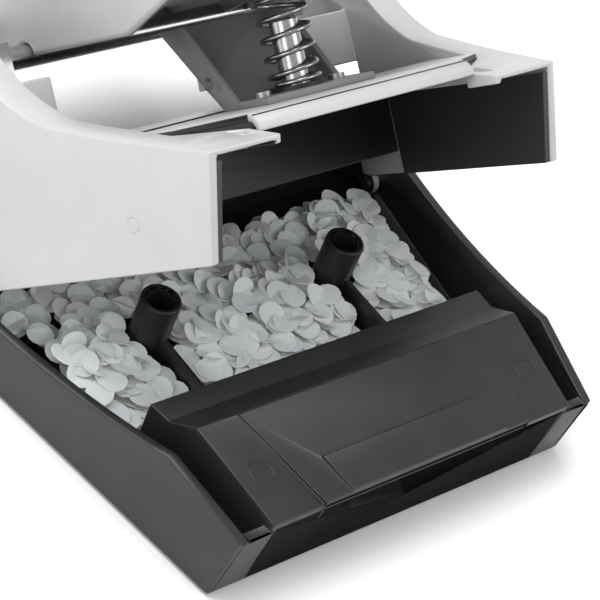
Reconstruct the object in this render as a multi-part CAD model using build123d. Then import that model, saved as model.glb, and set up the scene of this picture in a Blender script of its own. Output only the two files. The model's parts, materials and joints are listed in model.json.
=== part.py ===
from build123d import *
import math
import os

# Two-hole desk punch, shown with its chip tray open.
#
# The tray stands on the desk. The punch body is hinged near the tray's front and is swung up to its
# open stop. Every piece of the body is drawn in the closed position and turned about the hinge.
# +X is to the right of a person who faces the paper slot from behind, +Y points to the rear, +Z up.
# Millimetres.

# Plan of the tray and body: both flare from a narrow rear end to a wide front.
REAR_HALF = 50.0          # half of the tray's outer width at its rear end
FLARE = 0.1736            # sideways growth per millimetre towards the front
FLARE_END = 84.0          # the flare stops this far from the rear end
TRAY_FRONT = 94.0
TRAY_WALL = 2.4
TRAY_BASE = 0.8           # height of the tray's underside above the desk
FLOOR_TOP = 2.6
SLOT_WALL = 1.4           # inner wall of the slot that takes the body's side

# Finger shelf across the tray's rear.
SHELF_HALF = 42.0         # half width at the rear edge
SHELF_FLARE = 0.12
SHELF_INNER = 36.0
SHELF_THICK = 2.0

# Posts in the tray.
POST_X, POST_Y = 26.0, -59.7
POST_TOP, POST_R, POST_BORE = 18.8, 4.4, 3.2

# Hinge between tray and body.
HINGE_Y, HINGE_Z = -83.5, 5.5
OPEN_ANGLE = 46.3
HINGE_PIN_R = 1.2
RUNNING_GAP = 0.05

# Body.
BODY_INSET = 4.4          # the body's side lies this far inside the tray's outer face
BODY_WALL = 1.8
BODY_LOW = 7.2            # height of the side walls' lower edge
REAR_TOP_Y, REAR_TOP_Z = -4.2, 28.1
REAR_LOW_Y = -9.7
FRONT_Y = -108.0
NOSE_Z = 27.8             # lower edge of the front
SLOPE_FOOT_Y = -88.3      # the sloping front starts here
POD_X = 33.5              # inner face of the two punch housings
CHEEK = 8.0               # width of each cheek's top band
REAR_NOTCH = 29.0         # half width of the opening between the cheeks' rear corners
HOUSING_TOP, HOUSING_FRONT = 47.0, -89.5
PLATE_FRONT = -38.5       # the plate steps down here
PLATE_STEP = 2.9
BRACKET_TOP = 51.0
POD_WALL = 1.6
TABLE_TOP = 30.5
TABLE_THICK = 1.6
SLOT = 4.5                # height of the paper slot
STOP_Y = -68.0            # the paper's edge stops here
PLATE_TOP = 32.6
SHEET = 1.5

# Punching parts.
HOLE_SPACING = 80.0
HOLE_R = 3.0
PUNCH_Y = -80.0
PUNCH_TIP = 35.3
PIVOT_Y, PIVOT_Z, PIVOT_R = -100.0, 54.0, 2.5
BAR_Z, BAR_R = 52.0, 2.5

# Lever hood.
LEVER_HALF, LEVER_WALL = 30.5, 2.0
SKIRT_LOW, SKIRT_END = 51.5, -43.0

# Return spring.
SPRING_Y = -31.6
SPRING_R, SPRING_WIRE, SPRING_TOP = 5.6, 1.1, 66.0
ORIGIN_Y = -71.22         # the frame's origin lies under the middle of the opened punch


def prism_z(points, low, high):
    face = make_face(Polyline(*[(x, y, low) for x, y in points], close=True))
    return extrude(face, high - low, dir=(0, 0, 1))


def prism_x(edges, low, high):
    """A side outline, points (y, z) or ready edges at x = 0, carried from x = low to high."""
    if isinstance(edges[0], tuple):
        edges = Polyline(*[(0, y, z) for y, z in edges], close=True)
    return extrude(Pos(low, 0, 0) * make_face(edges), high - low, dir=(1, 0, 0))


def block(x0, x1, y0, y1, z0, z1):
    return Pos((x0 + x1) / 2, (y0 + y1) / 2, (z0 + z1) / 2) * Box(x1 - x0, y1 - y0, z1 - z0)


def rod_x(y, z, radius, x0, x1):
    return Pos((x0 + x1) / 2, y, z) * Rot(0, 90, 0) * Cylinder(radius, x1 - x0)


def rod_z(x, y, radius, z0, z1):
    return Pos(x, y, (z0 + z1) / 2) * Cylinder(radius, z1 - z0)


def both_sides(shape):
    return [shape, mirror(shape, about=Plane.YZ)]


def plan(inset, rear, front):
    """Flared plan outline, `inset` inside the tray's outer face."""
    depths = [rear, front] if front <= FLARE_END else [rear, FLARE_END, front]
    right = [(REAR_HALF - inset + FLARE * min(depth, FLARE_END), -depth) for depth in depths]
    return right + [(-x, y) for x, y in reversed(right)]


def body_half(y):
    return REAR_HALF - BODY_INSET + FLARE * min(-y, FLARE_END)


def arc_yz(start, middle, end):
    return ThreePointArc((0, *start), (0, *middle), (0, *end))


def line_yz(*points):
    return Polyline(*[(0, y, z) for y, z in points])


# ---- chip tray ---------------------------------------------------------------------------------
def tray_side_outline():
    end, bend, dip = (0.0, 18.2), (-21.2, 22.4), (-76.0, 15.0)
    return [
        line_yz(dip, (-TRAY_FRONT, 15.0), (-TRAY_FRONT, TRAY_BASE), (-1.9, TRAY_BASE), end, bend),
        arc_yz(bend, (-48.7, 16.8), dip),
    ]


def shelf_plan(half, flare, inner):
    return [(half, 0), (half + flare * inner, -inner), (-half - flare * inner, -inner), (-half, 0)]


def raised_panel(half, flare, inner, height):
    """A panel that stands proud of the shelf's sloping top."""
    slope = (24.0 - 20.1) / 24.2
    top = [(0, 20.1 + height), (-inner, 20.1 + slope * inner + height)]
    outline = top + [(-inner, 19.6 + slope * inner), (0, 19.6)]
    return prism_z(shelf_plan(half, flare, inner), 15, 30) & prism_x(outline, -60, 60)


def chip_tray():
    walls = prism_z(plan(0, 0, TRAY_FRONT), 0, 30) - prism_z(plan(TRAY_WALL, -5, TRAY_FRONT + 5), 0, 30)
    walls = walls & prism_x(tray_side_outline(), -80, 80)
    floor = prism_z(plan(1.0, SHELF_INNER, TRAY_FRONT), TRAY_BASE, FLOOR_TOP)
    under_shelf = [(-SHELF_INNER, TRAY_BASE), (-1.9, TRAY_BASE), (0, 20.1), (-24.2, 24.0),
                   (-30.3, 19.6), (-SHELF_INNER, 19.2)]
    shelf_block = (prism_z(shelf_plan(SHELF_HALF, SHELF_FLARE, SHELF_INNER), 0, 30)
                   & prism_x(under_shelf, -60, 60))
    cavity = prism_z(shelf_plan(SHELF_HALF - SLOT_WALL, SHELF_FLARE, SHELF_INNER), 0, 30)
    cavity = cavity & block(-60, 60, -SHELF_INNER + 1.8, 5, 0, 30)
    cavity = cavity & prism_x([(y, z - SHELF_THICK) for y, z in
                               [(-40, 19.2), (-30.3, 19.6), (-24.2, 24.0), (5, 19.3)]]
                                + [(5, 0), (-40, 0)], -60, 60)
    shelf = shelf_block - cavity
    pocket_plan = [(SHELF_HALF - 1, 0), (REAR_HALF - 1, 0),
                   (REAR_HALF - 1 + FLARE * SHELF_INNER, -SHELF_INNER),
                   (SHELF_HALF - 1 + SHELF_FLARE * SHELF_INNER, -SHELF_INNER)]
    end_cap = (prism_z(pocket_plan, TRAY_BASE, 30)
               & prism_x([(-1.9, 0.8), (0, 18.0), (-2.4, 18.0), (-4.3, 0.8)], 0, 80))
    pocket_floor = prism_z(pocket_plan, TRAY_BASE, FLOOR_TOP) & block(0, 80, -37, -2.2, 0, 5)
    centre = raised_panel(28.7, 0.26, 23.6, 0.7)
    grip = raised_panel(21.9, 0.19, 9.0, 1.5)
    lip = block(-61, 61, -TRAY_FRONT, -TRAY_FRONT + 1.6, TRAY_BASE, 3.1)
    tray = walls + floor + shelf + centre + grip + lip
    for piece in both_sides(end_cap) + both_sides(pocket_floor):
        tray = tray + piece
    for side in (-1, 1):
        x = side * POST_X
        post = rod_z(x, POST_Y, POST_R, FLOOR_TOP - 0.5, POST_TOP)
        rib = block(x - 0.7, x + 0.7, POST_Y + 3, -SHELF_INNER + 0.5, FLOOR_TOP - 0.5, 11)
        tray = tray + post + rib
    for side in (-1, 1):
        x = side * POST_X
        tray = tray - rod_z(x, POST_Y, POST_BORE, FLOOR_TOP + 2, POST_TOP + 1)
        tray = tray - Pos(x, POST_Y, POST_TOP) * Cone(POST_BORE - 0.4, POST_BORE + 0.7, 1.1)
        tray = tray - rod_x(HINGE_Y, HINGE_Z, HINGE_PIN_R, side * 66 - 8, side * 66 + 8)
    return tray


def tray_feet():
    places = [(34, -16), (52, -84)]
    return [p for x, y in places for p in both_sides(foot(x, y))]


def foot(x, y):
    if y < -SHELF_INNER:
        return rod_z(x, y, 5.0, 0, TRAY_BASE)
    return block(44.0, 49.0, -22.0, -7.0, 0, TRAY_BASE)


def hinge_pins():
    outer = REAR_HALF + FLARE * FLARE_END - 0.4
    return both_sides(rod_x(HINGE_Y, HINGE_Z, HINGE_PIN_R, body_half(HINGE_Y) - 2.6, outer))


def paper_chips():
    """Loose heap of punched discs, as one low crowned solid."""
    heap = prism_z(plan(8.6, 38.5, 81), FLOOR_TOP + 0.05, 6.4)
    crown = prism_z(plan(12, 40, 64), 6.4, 9.6)
    crown = (crown
             & prism_x([line_yz((-40, 6.4), (-64, 6.4)),
                         arc_yz((-64, 6.4), (-52, 9.6), (-40, 6.4))], -60, 60))
    heap = heap + crown
    for side in (-1, 1):
        x = side * POST_X
        heap = heap - rod_z(x, POST_Y, POST_R + 0.2, 0, 20)
        heap = heap - block(x - 0.9, x + 0.9, POST_Y + 3, -30, 0, 20)
    return heap


# ---- body shell --------------------------------------------------------------------------------
def cheek_outline(shrink=0.0):
    """Side view of the body: low at the rear, sweeping up into the jaw above the paper slot."""
    s = shrink
    low, rear = (REAR_LOW_Y + 3 * s, BODY_LOW - 3 * s), (REAR_TOP_Y + 3 * s, REAR_TOP_Z - s)
    sweep, crest = (-44.0, 37.6 - s), (-64.0 - s, 57.0 - s)
    back, chin = (-94.0, 61.0 - s), (-107.0 + s, 50.0)
    return [
        arc_yz(rear, (-24.0, 32.4 - s), sweep),
        arc_yz(sweep, (-55.6 - 0.8 * s, 45.4 - 0.7 * s), crest),
        line_yz(crest, back),
        arc_yz(back, (-103.6 + 0.7 * s, 57.6 - 0.7 * s), chin),
        line_yz(chin, (FRONT_Y + s, TABLE_TOP), (FRONT_Y + s, NOSE_Z + 0.4 * s),
                (SLOPE_FOOT_Y + 0.4 * s, BODY_LOW), low, rear),
    ]


def opening_plan(gap, rear, front):
    """Opening between the cheeks: narrow at the rear corners, then a band's width inside each side."""
    turn_y, band_y = -13.0, -21.0
    band = REAR_HALF - BODY_INSET - CHEEK - gap
    right = [(REAR_NOTCH - gap, rear), (REAR_NOTCH - gap, turn_y), (band - FLARE * band_y, band_y),
             (band - FLARE * front, front)]
    return right + [(-x, y) for x, y in reversed(right)]


def base_cover():
    outline = prism_x(cheek_outline(), -80, 80)
    inside = prism_x(cheek_outline(BODY_WALL), -80, 80)
    whole = prism_z(plan(BODY_INSET, 0, -FRONT_Y), 0, 80) & outline
    hollow = prism_z(plan(BODY_INSET + BODY_WALL, -10, -FRONT_Y), 0, 80) & inside
    cover = whole - hollow
    cover = cover - block(-POD_X, POD_X, -120, 10, TABLE_TOP - TABLE_THICK, 80)
    cover = cover - prism_z(opening_plan(0, 10, STOP_Y), 0, 80)
    slot_top = TABLE_TOP + SLOT
    cheek_walls = prism_z(opening_plan(-POD_WALL, 10, HOUSING_FRONT), 0, 80)
    cheek_walls = cheek_walls - prism_z(opening_plan(0, 20, HOUSING_FRONT - 1), 0, 80)
    low_wall = cheek_walls & outline & block(-80, 80, STOP_Y, 10, REAR_TOP_Z - BODY_WALL, 80)
    high_wall = cheek_walls & outline & block(-80, 80, HOUSING_FRONT, STOP_Y, slot_top, 80)
    cover = cover + low_wall + high_wall
    for side in (-1, 1):
        inner_wall = block(POD_X, POD_X + POD_WALL, -120, STOP_Y, slot_top, 80) & outline
        jaw_floor = block(POD_X, 70, -120, STOP_Y, slot_top, slot_top + POD_WALL) & whole
        rear_wall = block(POD_X, 70, STOP_Y - POD_WALL, STOP_Y, slot_top, 80) & whole
        front_wall = block(POD_X, 70, HOUSING_FRONT - POD_WALL, HOUSING_FRONT, slot_top, 80) & whole
        for piece in (inner_wall, jaw_floor, rear_wall, front_wall):
            cover = cover + (piece if side > 0 else mirror(piece, about=Plane.YZ))
    cover = cover - prism_z(opening_plan(0, 10, HOUSING_FRONT), HOUSING_TOP, 80)
    ear_x = body_half(HINGE_Y)
    for ear in both_sides(rod_x(HINGE_Y, HINGE_Z, 2.6, ear_x - BODY_WALL, ear_x)):
        cover = cover + ear
    cover = cover - block(-80, 80, -120, STOP_Y, TABLE_TOP, slot_top)
    cover = cover - rod_x(HINGE_Y, HINGE_Z, HINGE_PIN_R + RUNNING_GAP, -80, 80)
    cover = cover - rod_x(PIVOT_Y, PIVOT_Z, PIVOT_R, -POD_X - 5, POD_X + 5)
    cover = cover - block(-POD_X - 3, POD_X + 3, PUNCH_Y - 6, PUNCH_Y + 4, BAR_Z - 11, BAR_Z + 3.5)
    for side in (-1, 1):
        cover = cover - rod_z(side * HOLE_SPACING / 2, PUNCH_Y, HOLE_R + 0.6, 20, 40)
    return cover - guide_channel()


def guide_channel():
    return block(30, 80, -98.4, -89.6, 23.2, 27.0)


def base_liner():
    """Second skin inside each side wall."""
    gap, thick = BODY_WALL + 0.1, 1.3
    skin = (prism_z(plan(BODY_INSET + gap, 0, 65), 0, 40)
            - prism_z(plan(BODY_INSET + gap + thick, -5, 70), 0, 40))
    side_view = [(REAR_LOW_Y - 0.6, BODY_LOW + 0.1), (REAR_TOP_Y - 0.9, REAR_TOP_Z - 2.0),
                 (-64.5, REAR_TOP_Z - 2.0), (-64.5, BODY_LOW + 0.1)]
    return skin & prism_x(side_view, -80, 80)


def spring_plate():
    """Raised sheet between the pods, rolled down at the rear and folded down as the paper stop."""
    top, low = PLATE_TOP, PLATE_TOP - SHEET
    roll = 3.6
    edge_y = -9.9
    outline = [
        line_yz((edge_y, top - roll), (edge_y - SHEET, top - roll)),
        arc_yz((edge_y - SHEET, top - roll), (edge_y - 2.1, low - 0.6), (edge_y - roll, low)),
        line_yz((edge_y - roll, low), (PLATE_FRONT + SHEET, low), (PLATE_FRONT + SHEET, low - PLATE_STEP),
                (STOP_Y + SHEET, low - PLATE_STEP), (STOP_Y + SHEET, 12.5), (STOP_Y, 12.5),
                (STOP_Y, TABLE_TOP + 0.9), (STOP_Y + SHEET, TABLE_TOP + 0.9),
                (STOP_Y + SHEET, top - PLATE_STEP),
                (PLATE_FRONT, top - PLATE_STEP), (PLATE_FRONT, top), (edge_y - roll, top)),
        arc_yz((edge_y - roll, top), (edge_y - 1.05, top - 1.05), (edge_y, top - roll)),
    ]
    upper = prism_x(outline, -60, 60) & prism_z(opening_plan(0.1, 10, STOP_Y), 0, 60)
    half = body_half(STOP_Y + SHEET) - BODY_WALL - 0.2
    wall = block(-half, half, STOP_Y, STOP_Y + SHEET, 12.5, REAR_TOP_Z - BODY_WALL - 0.1)
    return upper + wall - rod_z(0, SPRING_Y, 2.0, 20, 40)


def paper_table():
    low = TABLE_TOP - TABLE_THICK
    table = prism_z(plan(BODY_INSET + BODY_WALL + 0.2, -STOP_Y + 0.1, -FRONT_Y - 2.0), low, TABLE_TOP)
    for side in (-1, 1):
        table = table - rod_z(side * HOLE_SPACING / 2, PUNCH_Y, 5.0, 20, 40)
    return table


def die_bush(side):
    x = side * HOLE_SPACING / 2
    ring = (rod_z(x, PUNCH_Y, 5.0, TABLE_TOP - 4.0, TABLE_TOP)
            + rod_z(x, PUNCH_Y, 6.2, TABLE_TOP - 4.0, TABLE_TOP - TABLE_THICK))
    return ring - rod_z(x, PUNCH_Y, HOLE_R + RUNNING_GAP, 20, 40)


def punch_guide(side):
    x = side * HOLE_SPACING / 2
    low = TABLE_TOP + SLOT + POD_WALL
    body = (block(x - 4.7, x + 4.7, PUNCH_Y - 6.5, PUNCH_Y + 6.5, low, low + 2)
            + rod_z(x, PUNCH_Y, 4.7, low, low + 4.4))
    return body - rod_z(x, PUNCH_Y, HOLE_R + RUNNING_GAP, 20, 60)


def punch(side):
    """Punch with a cross-slotted head that the press bar lifts and pushes."""
    x = side * HOLE_SPACING / 2
    shank = rod_z(x, PUNCH_Y, HOLE_R, PUNCH_TIP, BAR_Z - 3)
    shank = shank - Pos(x, PUNCH_Y, PUNCH_TIP) * Rot(90, 0, 0) * Cylinder(1.6, 20)
    head = block(x - 3, x + 3, PUNCH_Y - 5.8, PUNCH_Y + 4.6, BAR_Z - 4.2, BAR_Z + 3.6)
    r = BAR_R + 0.16
    opening = rod_x(PUNCH_Y - 1.7, BAR_Z, r, x - 5, x + 5) + rod_x(PUNCH_Y + 0.2, BAR_Z, r, x - 5, x + 5)
    opening = opening + block(x - 5, x + 5, PUNCH_Y - 1.7, PUNCH_Y + 0.2, BAR_Z - r, BAR_Z + r)
    return shank + head - opening


# ---- spring and its bracket --------------------------------------------------------------------
def return_spring():
    return (rod_z(0, SPRING_Y, SPRING_R, PLATE_TOP + SHEET + 0.9, SPRING_TOP)
            - rod_z(0, SPRING_Y, SPRING_R - SPRING_WIRE, 30, 60))


def spring_seat():
    low = PLATE_TOP + SHEET
    return rod_z(0, SPRING_Y, SPRING_R + 0.2, low, low + 0.8) - rod_z(0, SPRING_Y, 3.0, 30, 40)


def guide_post():
    return (rod_z(0, SPRING_Y, 3.0, PLATE_TOP + SHEET, 48.0)
            + rod_z(0, SPRING_Y, 2.0, PLATE_TOP - SHEET - 0.8, PLATE_TOP + SHEET))


def spring_bracket():
    """Folded channel: a foot under the spring, and a web that leans forward between two flanges."""
    low, half = PLATE_TOP, 14.5
    foot = block(-half, half, PLATE_FRONT + 0.4, SPRING_Y + 8.0, low, low + SHEET)
    heel, toe = (PLATE_FRONT + 5.8, low), (PLATE_FRONT + 0.4, low)
    head, brow = (-46.6, BRACKET_TOP), (-54.6, BRACKET_TOP)
    flange = [heel, toe, brow, head]
    web = [toe, brow, (brow[0] + 1.7, brow[1]), (toe[0] + 1.7, toe[1])]
    bracket = foot + prism_x(web, -half, half)
    for x in (-half, half - SHEET):
        bracket = bracket + prism_x(flange, x, x + SHEET)
    for side in (-1, 1):
        bracket = bracket - rod_x(-41.4, 38.6, 1.2, side * half - 4, side * half + 4)
    return bracket - rod_z(0, SPRING_Y, 2.0, 20, 40)


def bracket_rivets():
    low = PLATE_TOP + SHEET
    return [rod_z(x, SPRING_Y + 1, 1.8, low, low + 1.0) for x in (-10.0, 10.0)]


# ---- lever -------------------------------------------------------------------------------------
def lever_outline(low, high, rear):
    """Side view of the lever, a bar that runs from the pivot back over the base."""
    return [
        line_yz((PIVOT_Y - 5.5, 54 + low), (PIVOT_Y + 8, 52.6 + low), (-70, 56.4 + low), (rear, 68.2 + low)),
        line_yz((rear, 68.2 + low), (rear, 68.2 + high)),
        arc_yz((rear, 68.2 + high), (-52, 66.4 + high), (PIVOT_Y - 5.5, 54 + high)),
        line_yz((PIVOT_Y - 5.5, 54 + high), (PIVOT_Y - 5.5, 54 + low)),
    ]


def lever_arm():
    """Steel channel: two flanges and a web, with a hole for the guide post."""
    outline = prism_x(lever_outline(-3.0, 7.5, -20.0), -24, 24)
    arm = outline - (prism_x(lever_outline(-9.0, 5.9, -10.0), -22.2, 22.2))
    rest = [(SPRING_Y - 7.5, SPRING_TOP), (SPRING_Y + 7.5, SPRING_TOP), (SPRING_Y + 7.5, SPRING_TOP + SHEET),
            (SPRING_Y - 7.5, SPRING_TOP + SHEET)]
    cross = [(SPRING_Y + 2.5, SPRING_TOP), (SPRING_Y + 7.5, SPRING_TOP), (SPRING_Y + 7.5, SPRING_TOP + SHEET),
             (SPRING_Y + 2.5, SPRING_TOP + SHEET)]
    web = prism_x(rest, -12, 12) + prism_x(cross, -22.6, 22.6)
    arm = arm + web
    arm = arm - rod_z(0, SPRING_Y, 4.6, 40, SPRING_TOP + 3)
    arm = arm - rod_x(PIVOT_Y, PIVOT_Z, PIVOT_R + RUNNING_GAP, -40, 40)
    return arm - rod_x(PUNCH_Y, BAR_Z, BAR_R, -40, 40)


def lever_cover():
    """Hood over the channel. Its skirts hang lower than the channel's flanges and end level."""
    hood = prism_x([line_yz((PIVOT_Y - 5.5, SKIRT_LOW + 1), (PIVOT_Y, SKIRT_LOW),
                            (SKIRT_END, SKIRT_LOW), (-1.5, 66.0)),
                    line_yz((-1.5, 66.0), (-1.5, 80.2)),
                    arc_yz((-1.5, 80.2), (-44, 78.2), (PIVOT_Y - 5.5, 66.0)),
                    line_yz((PIVOT_Y - 5.5, 66.0), (PIVOT_Y - 5.5, SKIRT_LOW + 1))], -LEVER_HALF, LEVER_HALF)
    inside = prism_x([line_yz((PIVOT_Y - 15, SKIRT_LOW - 9), (-3.5, SKIRT_LOW - 9), (-3.5, 78.0)),
                      arc_yz((-3.5, 78.0), (-44, 76.2), (PIVOT_Y - 15, 62.0)),
                      line_yz((PIVOT_Y - 15, 62.0), (PIVOT_Y - 15, SKIRT_LOW - 9))],
                     -LEVER_HALF + LEVER_WALL, LEVER_HALF - LEVER_WALL)
    hood = hood - inside - rod_x(PIVOT_Y, PIVOT_Z, PIVOT_R + 0.3, -40, 40)
    return hood - rod_x(PUNCH_Y, BAR_Z, BAR_R, -40, 40)


def press_bar():
    return rod_x(PUNCH_Y, BAR_Z, BAR_R, -46, 46)


def pivot_pin():
    return rod_x(PIVOT_Y, PIVOT_Z, PIVOT_R, -POD_X - 4, POD_X + 4)


def pivot_clips():
    near = POD_X + POD_WALL + 0.2
    ring = rod_x(PIVOT_Y, PIVOT_Z, 3.1, near, near + 1) - rod_x(PIVOT_Y, PIVOT_Z, PIVOT_R, near - 1, near + 2)
    return both_sides(ring)


def bar_collars():
    ring = rod_x(PUNCH_Y, BAR_Z, 3.8, 44.2, 45.4) - rod_x(PUNCH_Y, BAR_Z, BAR_R, 40, 50)
    return both_sides(ring)


# ---- paper guide -------------------------------------------------------------------------------
def paper_guide():
    """Rule that slides out sideways, with an upturned stop at its end."""
    rule = block(-40, 60.6, -98, -90, 23.6, 26.6)
    stop = block(60.5, 64, -102, -88, 23.6, 36.0)
    notches = [block(x - 0.4, x + 0.4, -98, -94.6, 26.1, 27.0) for x in range(-30, 60, 10)]
    rule = rule + stop
    for notch in notches:
        rule = rule - notch
    return rule


def guide_runners():
    """Two brackets under the paper table that carry the rule."""
    low = TABLE_TOP - TABLE_THICK
    shape = block(-3, 3, -100.0, -88.0, 22.6, low) - block(-4, 4, -98.2, -89.8, 23.4, 26.8)
    return [Pos(x, 0, 0) * shape for x in (-34, 24)]


def table_screws():
    low = TABLE_TOP - TABLE_THICK
    return [rod_z(x, -72.5, 2.4, low - 1.4, low) for x in (-24, -8, 8, 24)]


# ---- assembly ----------------------------------------------------------------------------------
TRAY_NODES = {
    "chip_tray": chip_tray,
    "tray_feet": tray_feet,
    "tray_hinge_pins": hinge_pins,
    "paper_chips": paper_chips,
}
BODY_NODES = {
    "base_cover": base_cover,
    "base_liner": base_liner,
    "spring_plate": spring_plate,
    "paper_table": paper_table,
    "die_bush_right": lambda: die_bush(1),
    "die_bush_left": lambda: die_bush(-1),
    "punch_guide_right": lambda: punch_guide(1),
    "punch_guide_left": lambda: punch_guide(-1),
    "punch_right": lambda: punch(1),
    "punch_left": lambda: punch(-1),
    "return_spring": return_spring,
    "spring_seat": spring_seat,
    "guide_post": guide_post,
    "spring_bracket": spring_bracket,
    "bracket_rivets": bracket_rivets,
    "lever_arm": lever_arm,
    "lever_cover": lever_cover,
    "press_bar": press_bar,
    "bar_collars": bar_collars,
    "pivot_pin": pivot_pin,
    "pivot_clips": pivot_clips,
    "paper_guide": paper_guide,
    "guide_runners": guide_runners,
    "table_screws": table_screws,
}


def solids_of(made):
    shapes = made if isinstance(made, list) else [made]
    return [solid for shape in shapes for solid in shape.solids()]


def opened(shape):
    about_hinge = Pos(0, HINGE_Y, HINGE_Z) * Rot(OPEN_ANGLE, 0, 0) * Pos(0, -HINGE_Y, -HINGE_Z)
    return about_hinge * shape


def write(name, solids):
    centred = [Pos(0, -ORIGIN_Y, 0) * solid for solid in solids]
    whole = centred[0] if len(centred) == 1 else Compound(children=centred)
    export_step(whole, f"parts/{name}.step")
    box = Compound(children=list(centred)).bounding_box()
    return box.min, box.max


os.makedirs("parts", exist_ok=True)
lows, highs = [], []
for name, make in TRAY_NODES.items():
    low, high = write(name, solids_of(make()))
    lows.append(low)
    highs.append(high)
for name, make in BODY_NODES.items():
    low, high = write(name, [opened(solid) for solid in solids_of(make())])
    lows.append(low)
    highs.append(high)
print("low", min(v.X for v in lows), min(v.Y for v in lows), min(v.Z for v in lows))
print("high", max(v.X for v in highs), max(v.Y for v in highs), max(v.Z for v in highs))
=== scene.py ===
import json
import math

import bmesh
import bpy
import numpy as np
from mathutils import Matrix, Vector


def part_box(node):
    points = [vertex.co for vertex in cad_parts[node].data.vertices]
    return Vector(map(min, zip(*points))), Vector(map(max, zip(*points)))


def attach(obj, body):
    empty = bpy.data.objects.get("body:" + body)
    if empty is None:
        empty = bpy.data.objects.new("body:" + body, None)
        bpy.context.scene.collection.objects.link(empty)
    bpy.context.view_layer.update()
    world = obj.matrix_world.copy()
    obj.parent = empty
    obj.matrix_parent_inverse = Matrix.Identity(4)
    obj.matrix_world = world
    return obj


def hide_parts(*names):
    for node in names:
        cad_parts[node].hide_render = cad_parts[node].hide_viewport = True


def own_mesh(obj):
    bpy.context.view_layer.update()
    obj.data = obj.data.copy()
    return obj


# The punch stands on a pale table in soft light, with its chip tray open towards the viewer.
# Everything below is in metres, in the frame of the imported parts.
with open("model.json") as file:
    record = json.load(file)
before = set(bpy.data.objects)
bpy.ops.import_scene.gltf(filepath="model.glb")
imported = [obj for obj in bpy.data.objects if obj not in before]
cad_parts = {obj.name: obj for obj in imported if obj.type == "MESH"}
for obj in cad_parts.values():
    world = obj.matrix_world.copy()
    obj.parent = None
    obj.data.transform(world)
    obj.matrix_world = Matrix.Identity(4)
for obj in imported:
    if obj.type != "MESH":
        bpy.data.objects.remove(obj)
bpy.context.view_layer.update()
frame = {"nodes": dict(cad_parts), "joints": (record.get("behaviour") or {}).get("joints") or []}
MM = 0.001
nodes = frame["nodes"]
joints = {joint["name"]: joint for joint in frame["joints"]}


def linear(hex_colour):
    """sRGB hex to linear RGBA: c / 12.92 below 0.04045, ((c + 0.055) / 1.055) ** 2.4 above."""
    c = np.array([int(hex_colour[i:i + 2], 16) for i in (1, 3, 5)]) / 255
    return (*np.where(c <= 0.04045, c / 12.92, ((c + 0.055) / 1.055) ** 2.4), 1.0)


def add_node(material, kind, links=(), settings=(), numbered=(), **values):
    """Adds one shader node: `settings` are its properties, `values` and `numbered` its sockets' values
    by name and by place, and `links` the outputs that feed its sockets."""
    tree = material.node_tree
    made = tree.nodes.new(kind)
    for name, value in dict(settings).items():
        setattr(made, name, value)
    for name, value in values.items():
        made.inputs[name.replace("_", " ")].default_value = value
    for place, value in dict(numbered).items():
        made.inputs[place].default_value = value
    for socket, source in dict(links).items():
        tree.links.new(source, made.inputs[socket])
    return made


def new_material(name):
    material = bpy.data.materials.new(name)
    material.use_nodes = True
    material.node_tree.nodes.clear()
    return material


MIX_A, MIX_B = 6, 7      # places of a colour Mix node's two colour sockets


def finish_surface(material, bsdf):
    add_node(material, "ShaderNodeOutputMaterial", {"Surface": bsdf.outputs[0]})
    return material


# ---- table, light and camera --------------------------------------------------------------------
# A white sweep of satin card under a large overhead softbox, with a weaker one on each side.
def white_card():
    card = new_material("white_table_card")
    bsdf = add_node(card, "ShaderNodeBsdfPrincipled", Base_Color=linear("#fbfbfb"), Roughness=0.7)
    return finish_surface(card, bsdf)


half_table = 2.0
table_mesh = bpy.data.meshes.new("table")
table_mesh.from_pydata([(x, y, 0) for x, y in ((-half_table, -half_table), (half_table, -half_table),
                                               (half_table, half_table), (-half_table, half_table))],
                       [], [(0, 1, 2, 3)])
table = bpy.data.objects.new("table", table_mesh)
bpy.context.scene.collection.objects.link(table)
table_mesh.materials.append(white_card())


def softbox(name, place, aim, width, watts):
    lamp = bpy.data.lights.new(name, "AREA")
    lamp.shape, lamp.size, lamp.energy = "SQUARE", width, watts
    box = bpy.data.objects.new(name, lamp)
    bpy.context.scene.collection.objects.link(box)
    box.location = place
    box.rotation_euler = (Vector(aim) - Vector(place)).to_track_quat("-Z", "Y").to_euler()


softbox("overhead_softbox", (0.15, -0.25, 0.9), (0, 0, 0.04), 0.7, 9.0)
softbox("left_softbox", (0.75, 0.15, 0.45), (0, 0, 0.05), 0.5, 1.6)
softbox("rear_softbox", (-0.45, 0.6, 0.5), (0, 0, 0.03), 0.5, 1.5)
sky = bpy.data.worlds.new("studio")
sky.use_nodes = True
sky.node_tree.nodes["Background"].inputs["Color"].default_value = (1, 1, 1, 1)
sky.node_tree.nodes["Background"].inputs["Strength"].default_value = 0.55
bpy.context.scene.world = sky
bpy.context.scene.view_settings.view_transform = "Standard"

lens = bpy.data.cameras.new("camera")
lens.lens, lens.sensor_width = 135.03, 36.0
lens.clip_start, lens.clip_end = 0.02, 10.0
camera = bpy.data.objects.new("camera", lens)
bpy.context.scene.collection.objects.link(camera)
camera_right = (-0.7439, 0.59073, 0.31248)
camera_up = (-0.24581, -0.67668, 0.69403)
camera_back = (0.62143, 0.43948, 0.64859)
turn = Matrix((camera_right, camera_up, camera_back)).transposed().to_4x4()
camera.matrix_world = Matrix.Translation((0.29427, 0.23331, 0.32958)) @ turn
bpy.context.scene.camera = camera


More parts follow.
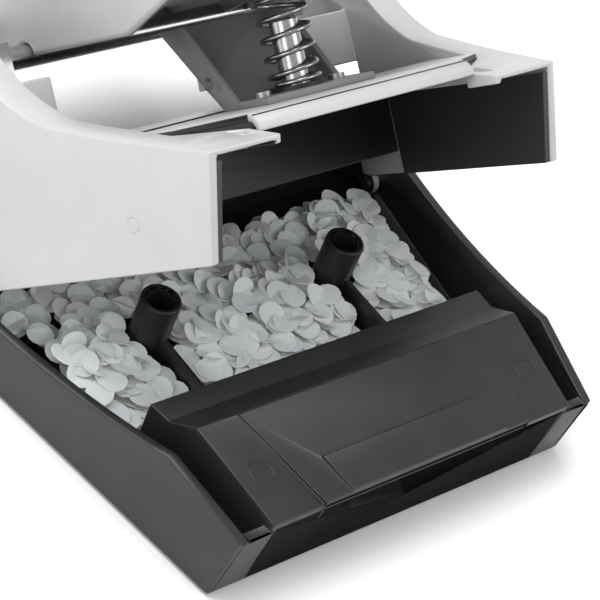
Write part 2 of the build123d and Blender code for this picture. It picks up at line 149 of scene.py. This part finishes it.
# ---- chip tray ----------------------------------------------------------------------------------
# The tray is one moulding of black polypropylene with a fine spark-eroded grain and small edge
# radii. Its shelf is a finger grip, with a faint ring on each side left by the mould's ejector pins.
def moulded(name, dark, light, grain_mm, roughness, grain_depth_mm, cloud_mm=9.0, ior=1.49):
    """Moulded plastic: soft clouding of the colour, fine grain in the surface, uneven gloss."""
    plastic = new_material(name)
    place = add_node(plastic, "ShaderNodeTexCoord").outputs["Object"]
    cloud = add_node(plastic, "ShaderNodeTexNoise", {"Vector": place},
                     Scale=1 / (cloud_mm * MM), Detail=3.0)
    grain = add_node(plastic, "ShaderNodeTexNoise", {"Vector": place},
                     Scale=1 / (grain_mm * MM), Detail=2.0)
    colour = add_node(plastic, "ShaderNodeMix", {"Factor": cloud.outputs["Fac"]}, {"data_type": "RGBA"},
                      {MIX_A: linear(dark), MIX_B: linear(light)})
    gloss = add_node(plastic, "ShaderNodeMapRange", {"Value": grain.outputs["Fac"]},
                     To_Min=roughness - 0.07, To_Max=roughness + 0.07)
    bump = add_node(plastic, "ShaderNodeBump", {"Height": grain.outputs["Fac"]},
                    Strength=0.6, Distance=grain_depth_mm * MM)
    bsdf = add_node(plastic, "ShaderNodeBsdfPrincipled",
                    {"Base Color": colour.outputs[2], "Roughness": gloss.outputs[0], "Normal": bump.outputs[0]},
                    IOR=ior)
    return finish_surface(plastic, bsdf)


def add_piece(name, mesh, body, material):
    piece = bpy.data.objects.new(name, mesh)
    bpy.context.scene.collection.objects.link(piece)
    mesh.materials.clear()
    mesh.materials.append(material)
    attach(piece, body)
    return piece


def soft_edged(node, name, body, material, radius_mm, segments=2):
    """A merged copy of a CAD node whose edges over 28 degrees get a small radius."""
    mesh = nodes[node].data.copy()
    mesh.name = name
    shape = bmesh.new()
    shape.from_mesh(mesh)
    bmesh.ops.remove_doubles(shape, verts=shape.verts, dist=2e-6)
    bmesh.ops.dissolve_limit(shape, angle_limit=math.radians(0.6), verts=shape.verts, edges=shape.edges)
    shape.to_mesh(mesh)
    shape.free()
    mesh.shade_smooth()
    piece = add_piece(name, mesh, body, material)
    edges = piece.modifiers.new("edge_radius", "BEVEL")
    edges.width, edges.segments = radius_mm * MM, segments
    edges.limit_method, edges.angle_limit = "ANGLE", math.radians(28)
    edges.use_clamp_overlap = False
    edges.harden_normals = True
    edges.miter_outer = "MITER_ARC"
    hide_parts(node)
    return piece


black_plastic = moulded("black_polypropylene_spark_grain", "#1b1c1d", "#2a2b2c", 0.45, 0.42, 0.02)
soft_edged("chip_tray", "tray_moulding", "tray", black_plastic, 0.35)


def ring_grid(centre, normal, radius, tube, flat=1.0, around=40, across=8):
    """Closed ring: centre + (radius + tube cos b)(e1 cos a + e2 sin a) + flat tube sin b normal."""
    n = np.array(normal, float) / np.linalg.norm(normal)
    e1 = np.cross(n, (1.0, 0.0, 0.0) if abs(n[0]) < 0.9 else (0.0, 1.0, 0.0))
    e1 /= np.linalg.norm(e1)
    e2 = np.cross(n, e1)
    a = np.linspace(0, 2 * np.pi, around, endpoint=False)[:, None, None]
    b = np.linspace(0, 2 * np.pi, across, endpoint=False)[None, :, None]
    out = np.cos(a) * e1 + np.sin(a) * e2
    return np.array(centre) + (radius + tube * np.cos(b)) * out + flat * tube * np.sin(b) * n


def grid_faces(rows, columns, start=0, wrap_rows=True):
    """Quads of a grid whose columns close on themselves, and whose rows do too if wrap_rows."""
    r = np.arange(rows if wrap_rows else rows - 1)[:, None]
    c = np.arange(columns)[None, :]
    r2, c2 = (r + 1) % rows, (c + 1) % columns
    quads = np.stack([r * columns + c, r2 * columns + c, r2 * columns + c2, r * columns + c2], -1)
    return (quads.reshape(-1, 4) + start).tolist()


def closed_mesh(name, points, faces):
    """A smooth closed mesh with its faces turned outwards."""
    mesh = bpy.data.meshes.new(name)
    mesh.from_pydata(points, [], faces)
    mesh.shade_smooth()
    shape = bmesh.new()
    shape.from_mesh(mesh)
    bmesh.ops.recalc_face_normals(shape, faces=shape.faces)
    shape.to_mesh(mesh)
    shape.free()
    return mesh


def joined_rings(name, rings):
    """One mesh of several closed rings of the same grid."""
    points, faces = [], []
    for ring in rings:
        faces += grid_faces(ring.shape[0], ring.shape[1], len(points))
        points += ring.reshape(-1, 3).tolist()
    return closed_mesh(name, points, faces)


shelf_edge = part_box("chip_tray")[1].y    # the tray's rear edge
SHELF_RISE, SHELF_DEPTH, SHELF_LOW = 3.9, 24.2, 20.1    # mm; the side panels fall towards the rear edge
shelf_slope = SHELF_RISE / SHELF_DEPTH
shelf_normal = (0, shelf_slope, 1)


def on_shelf(x_mm, depth_mm):
    """Point on a side panel's top, `depth_mm` in from the tray's rear edge."""
    return (x_mm * MM, shelf_edge - depth_mm * MM, (SHELF_LOW + shelf_slope * depth_mm) * MM)


PIN_X, PIN_DEPTH, PIN_R, PIN_RIDGE, PIN_FLAT = 37.5, 11.0, 2.6, 0.22, 0.5
pin_marks = [ring_grid(on_shelf(side * PIN_X, PIN_DEPTH), shelf_normal, PIN_R * MM, PIN_RIDGE * MM, PIN_FLAT)
             for side in (-1, 1)]
add_piece("tray_pin_marks", joined_rings("tray_pin_marks", pin_marks), "tray", black_plastic)

# ---- feet and hinge pins ------------------------------------------------------------------------
# Four pads of matt black rubber keep the tray from sliding. Two zinc-plated pins are pressed into
# the tray's sides and carry the body, so they stay as the parts that they are.
rubber = moulded("matt_black_rubber", "#161616", "#202020", 0.6, 0.8, 0.03)


def metal(name, dark, light, grain_mm, roughness, depth_mm, stretch=(1, 1, 1)):
    """Bare or plated metal: fine drawn marks, `stretch` gives their direction, and patchy gloss."""
    steel = new_material(name)
    place = add_node(steel, "ShaderNodeTexCoord").outputs["Object"]
    along = add_node(steel, "ShaderNodeMapping", {"Vector": place}, Scale=stretch)
    marks = add_node(steel, "ShaderNodeTexNoise", {"Vector": along.outputs[0]},
                     Scale=1 / (grain_mm * MM), Detail=3.0)
    colour = add_node(steel, "ShaderNodeMix", {"Factor": marks.outputs["Fac"]}, {"data_type": "RGBA"},
                      {MIX_A: linear(dark), MIX_B: linear(light)})
    gloss = add_node(steel, "ShaderNodeMapRange", {"Value": marks.outputs["Fac"]},
                     To_Min=roughness - 0.05, To_Max=roughness + 0.08)
    bump = add_node(steel, "ShaderNodeBump", {"Height": marks.outputs["Fac"]},
                    Strength=0.3, Distance=depth_mm * MM)
    bsdf = add_node(steel, "ShaderNodeBsdfPrincipled",
                    {"Base Color": colour.outputs[2], "Roughness": gloss.outputs[0], "Normal": bump.outputs[0]},
                    Metallic=1.0)
    return finish_surface(steel, bsdf)


zinc_plate = metal("zinc_plated_steel", "#9c9c9c", "#c4c4c4", 1.4, 0.34, 0.01)


def dress(material, *names):
    """Gives CAD nodes that keep their shape their finish."""
    for name in names:
        nodes[name].data.materials.clear()
        nodes[name].data.materials.append(material)


dress(rubber, "tray_feet")
dress(zinc_plate, "tray_hinge_pins")


# ---- paper chips --------------------------------------------------------------------------------
# Discs of office paper, 6 mm across, lie as they fell. Each has a slight curl from the punch, and
# the heap is highest about the tray's two posts. They are drawn a little thicker than real paper.
def paper():
    """Uncoated white paper: matt, with a faint fibre mottle of about half a millimetre."""
    white = new_material("white_office_paper")
    place = add_node(white, "ShaderNodeTexCoord").outputs["Object"]
    fibre = add_node(white, "ShaderNodeTexNoise", {"Vector": place}, Scale=1 / (0.5 * MM), Detail=4.0)
    colour = add_node(white, "ShaderNodeMix", {"Factor": fibre.outputs["Fac"]}, {"data_type": "RGBA"},
                      {MIX_A: linear("#f6f6f5"), MIX_B: linear("#ffffff")})
    bump = add_node(white, "ShaderNodeBump", {"Height": fibre.outputs["Fac"]},
                    Strength=0.4, Distance=0.02 * MM)
    bsdf = add_node(white, "ShaderNodeBsdfPrincipled",
                    {"Base Color": colour.outputs[2], "Normal": bump.outputs[0]},
                    Roughness=0.85, IOR=1.5, Subsurface_Weight=0.15, Subsurface_Scale=0.001)
    return finish_surface(white, bsdf)


CHIP_R, CHIP_THICK, CHIP_SIDES = 3.0, 0.12, 14
POST_X, POST_DEPTH, POST_R = 26.0, 59.7, 4.4
REAR_HALF, FLARE = 50.0, 0.1736       # the tray's half width at its rear edge, and its growth per mm


def heap_height(x, depth):
    """Level rim height, plus a bell in depth about the posts, plus a gentle wave both ways."""
    return 5.4 + 4.6 * np.exp(-((depth - 57) / 15) ** 2) + 0.9 * np.sin(x / 9.0) * np.cos(depth / 6.0)


def chip_places(chance, tries):
    """Random places in the tray, clear of the posts, their ribs, the shelf wall and the sides."""
    depth = chance.uniform(39.3, 82.0, tries)
    half = REAR_HALF + FLARE * depth - 11.2
    x = chance.uniform(-1, 1, tries) * half
    to_post = np.hypot(np.abs(x) - POST_X, depth - POST_DEPTH)
    to_rib = np.where(depth < POST_DEPTH, np.abs(np.abs(x) - POST_X), 99.0)
    clear = (to_post > POST_R + CHIP_R + 0.2) & (to_rib > CHIP_R + 0.9)
    return x[clear], depth[clear]


def chip_heap():
    """Each disc is a fan with thickness, curled by height = curl * (distance across its bend)^2,
    then tilted about a random level axis and set down on the heap."""
    chance = np.random.default_rng(11)
    x, depth = chip_places(chance, 900)
    count = len(x)
    angle = np.linspace(0, 2 * np.pi, CHIP_SIDES, endpoint=False)
    flat = np.vstack([[(0.0, 0.0)], np.stack([np.cos(angle), np.sin(angle)], -1)]) * CHIP_R
    bend = chance.uniform(0, np.pi, count)[:, None]
    across = flat[:, 0] * np.cos(bend) + flat[:, 1] * np.sin(bend)
    height = chance.uniform(-0.03, 0.11, count)[:, None] * across ** 2
    both = np.stack([height + CHIP_THICK / 2, height - CHIP_THICK / 2], 1)
    local = np.empty((count, 2, CHIP_SIDES + 1, 3))
    local[..., :2], local[..., 2] = flat, both
    layer = chance.integers(0, 3, count)
    tilt = np.abs(chance.normal(0, 0.36, count)).clip(0, 0.95) * np.where(layer == 0, 1.0, 0.5)
    axis = chance.uniform(0, 2 * np.pi, count)
    ux, uy = np.cos(axis)[:, None, None], np.sin(axis)[:, None, None]
    c, s = np.cos(tilt)[:, None, None], np.sin(tilt)[:, None, None]
    px, py, pz = local[..., 0], local[..., 1], local[..., 2]
    along = (ux * px + uy * py) * (1 - c)
    turned = np.stack([px * c + uy * pz * s + ux * along, py * c - ux * pz * s + uy * along,
                       pz * c + (ux * py - uy * px) * s], -1)
    top = heap_height(x, depth) - layer * 1.15 - chance.uniform(0, 0.7, count)
    z = np.maximum(top, 2.9 + CHIP_R * np.sin(tilt))
    places = np.stack([x, shelf_edge / MM - depth, z], -1)
    points = ((turned + places[:, None, None, :]) * MM).reshape(-1, 3)
    n, rim = CHIP_SIDES + 1, np.arange(1, CHIP_SIDES + 1)
    after = np.roll(rim, -1)
    fan = [(0, a, b) for a, b in zip(rim.tolist(), after.tolist())]
    under = [(n, n + b, n + a) for _, a, b in fan]
    edge = [(a, n + a, n + b, b) for _, a, b in fan]
    faces = [tuple(i * 2 * n + v for v in face) for i in range(count) for face in fan + under + edge]
    mesh = bpy.data.meshes.new("paper_discs")
    mesh.from_pydata(points.tolist(), [], faces)
    return mesh


discs = add_piece("paper_discs", chip_heap(), "tray", paper())
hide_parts("paper_chips")

# ---- body cover ---------------------------------------------------------------------------------
# The cover is one light grey ABS moulding with a satin face. Its inside faces are painted black as painted
# shade for the deep shadow in the hollow body, and the second skin inside each side wall is painted dark grey
# as painted shade too.
# Each side has one faint round mark from the mould.
light_plastic = moulded("light_grey_abs_satin", "#b6b7b7", "#bfc0c0", 0.35, 0.38, 0.008, ior=1.53)
# painted shade: a dark grey for the inner skin, which is light grey plastic lying in shadow
painted_shade_skin = moulded("painted_shade_inner_skin", "#2a2b2b", "#363737", 0.5, 0.4, 0.015, ior=1.53)
cover = soft_edged("base_cover", "cover_moulding", "punch_body", light_plastic, 0.4)
# the inner skin takes the dark grey as painted shade
dress(painted_shade_skin, "base_liner")

BODY_INSET = 4.4         # mm from the tray's outer face to the body's
hinge = Vector(joints["tray_hinge"]["pos_m"])
open_angle = -math.radians(joints["tray_hinge"]["range_deg"][0])
raised = Matrix.Translation(hinge) @ Matrix.Rotation(open_angle, 4, "X") @ Matrix.Translation(-hinge)


def raise_points(points):
    """Points drawn on the shut body, turned about the tray hinge to where the open body holds them."""
    turn = np.array(raised)
    return np.asarray(points) @ turn[:3, :3].T + turn[:3, 3]


def paint_inside_shade(piece, is_inside):
    """Paints shade on the faces for which is_inside(x, depth, z), shut and in mm, is true: they take the black
    plastic as painted shade for the dark hollow.
    """
    mesh = piece.data
    centres = np.empty(len(mesh.polygons) * 3)
    mesh.polygons.foreach_get("center", centres)
    back = np.array(raised.inverted())
    shut = (centres.reshape(-1, 3) @ back[:3, :3].T + back[:3, 3]) / MM
    # faces that get the black plastic as painted shade
    dark = is_inside(np.abs(shut[:, 0]), shelf_edge / MM - shut[:, 1], shut[:, 2])
    mesh.materials.append(black_plastic)
    mesh.polygons.foreach_set("material_index", dark.astype(np.int32))


def cover_shade_faces(x, depth, z):
    """Faces that get painted shade: over 1.2 mm inside the outer flare, below the top's underside and in from
    the rear rim.
    """
    return (x < REAR_HALF - BODY_INSET + FLARE * depth - 1.2) & (z < 27.8) & (depth > 6.0)


# painted shade: the cover's inner faces take black plastic for the shadow inside the body
paint_inside_shade(cover, cover_shade_faces)


def on_body(x_mm, depth_mm, z_mm):
    """Point on the shut body, `depth_mm` in from the tray's rear edge."""
    return (x_mm * MM, shelf_edge - depth_mm * MM, z_mm * MM)


MARK_DEPTH, MARK_HEIGHT, MARK_R, MARK_RIDGE = 27.0, 17.0, 1.5, 0.2
cover_marks = []
for side in (-1, 1):
    wall = REAR_HALF - BODY_INSET + FLARE * MARK_DEPTH
    place = on_body(side * wall, MARK_DEPTH, MARK_HEIGHT)
    mark = ring_grid(place, (side * 1.0, FLARE, 0.0), MARK_R * MM, MARK_RIDGE * MM, PIN_FLAT)
    cover_marks.append(raise_points(mark))
add_piece("cover_pin_marks", joined_rings("cover_pin_marks", cover_marks), "punch_body", light_plastic)

# ---- spring plate, table and dies ---------------------------------------------------------------
# The plate between the cheeks is light grey like the cover, with a rolled rear edge; its underside is painted
# black as painted shade for the shadow beneath it. The paper lies on a zinc-plated table with a bush under each
# punch and four screws.
plate = soft_edged("spring_plate", "plate_sheet", "punch_body", light_plastic, 0.3)
# painted shade: faces below 32.2 mm and over 11.6 mm from the rear edge take black plastic for the shadow under
# the plate
paint_inside_shade(plate, lambda x, depth, z: (z < 32.2) & (depth > 11.6))
dress(zinc_plate, "paper_table", "die_bush_right", "die_bush_left", "punch_guide_right",
      "punch_guide_left", "table_screws")

# ---- punches, post and pins ---------------------------------------------------------------------
# Ground and polished round steel: both punches, the post inside the spring, the bar that pushes
# the punches and the lever's pin.
ground_steel = metal("ground_bright_steel", "#a8a8a8", "#d0d0d0", 0.8, 0.2, 0.006)
dress(ground_steel, "punch_right", "punch_left", "guide_post", "press_bar", "pivot_pin")
dress(zinc_plate, "bar_collars", "pivot_clips", "bracket_rivets")

# ---- spring bracket -----------------------------------------------------------------------------
# A channel folded from 1.5 mm sheet and painted mid grey. Its foot is riveted to the plate and its
# web leans forward under the lever.
grey_paint = moulded("grey_stoved_paint", "#7c7d7d", "#8a8b8b", 0.9, 0.33, 0.01)
soft_edged("spring_bracket", "bracket_sheet", "punch_body", grey_paint, 0.3)
dress(black_plastic, "spring_seat")

# ---- return spring ------------------------------------------------------------------------------
# A compression spring of bright drawn wire 1.1 mm thick, 11.2 mm across outside, with closed ends.
# It pushes the lever up, and shortens to under a quarter of its height as the lever comes down.
SPRING_DEPTH, SPRING_R, WIRE = 31.6, 5.05, 1.1
SPRING_FOOT, SPRING_TOP, TURNS = 35.0, 66.0, 9.0


def coil(steps=420, sides=10):
    """Tube about a helix: the rise per turn eases from one wire at each end to the full pitch
    between, and each section is a circle across the helix's own direction."""
    t = np.linspace(0, 1, steps)
    ease = np.clip(np.minimum(t, 1 - t) * TURNS / 1.2, 0, 1) ** 1.5
    rise = np.cumsum(0.33 + ease)
    rise = (rise - rise[0]) / (rise[-1] - rise[0])
    a = 2 * np.pi * TURNS * t
    foot, top = SPRING_FOOT + WIRE / 2, SPRING_TOP - WIRE / 2
    y0 = shelf_edge / MM - SPRING_DEPTH
    line = np.stack([SPRING_R * np.cos(a), y0 + SPRING_R * np.sin(a), foot + (top - foot) * rise], -1)
    ahead = np.gradient(line, axis=0)
    ahead /= np.linalg.norm(ahead, axis=1, keepdims=True)
    outward = np.stack([np.cos(a), np.sin(a), np.zeros(steps)], -1)
    upward = np.cross(ahead, outward)
    b = np.linspace(0, 2 * np.pi, sides, endpoint=False)[None, :, None]
    tube = line[:, None] + WIRE / 2 * (np.cos(b) * outward[:, None] + np.sin(b) * upward[:, None])
    caps = [list(range(sides))[::-1], [(steps - 1) * sides + i for i in range(sides)]]
    faces = grid_faces(steps, sides, wrap_rows=False) + caps
    return closed_mesh("spring_coil", raise_points(tube.reshape(-1, 3) * MM).tolist(), faces)


spring_wire = metal("bright_drawn_spring_wire", "#8e8e8f", "#bdbdbe", 0.5, 0.2, 0.006)
spring = add_piece("spring_coil", coil(), "punch_body", spring_wire)
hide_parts("return_spring")
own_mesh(spring)

# ---- lever --------------------------------------------------------------------------------------
# A folded steel channel, painted grey, carries the load. A light grey cover snaps over it and is
# what the hand presses.
dress(grey_paint, "lever_arm")
soft_edged("lever_cover", "lever_moulding", "lever", light_plastic, 1.2, 3)

# ---- paper guide --------------------------------------------------------------------------------
# A black moulded rule with cut notches slides out sideways in two runners under the table.
dress(black_plastic, "paper_guide", "guide_runners")
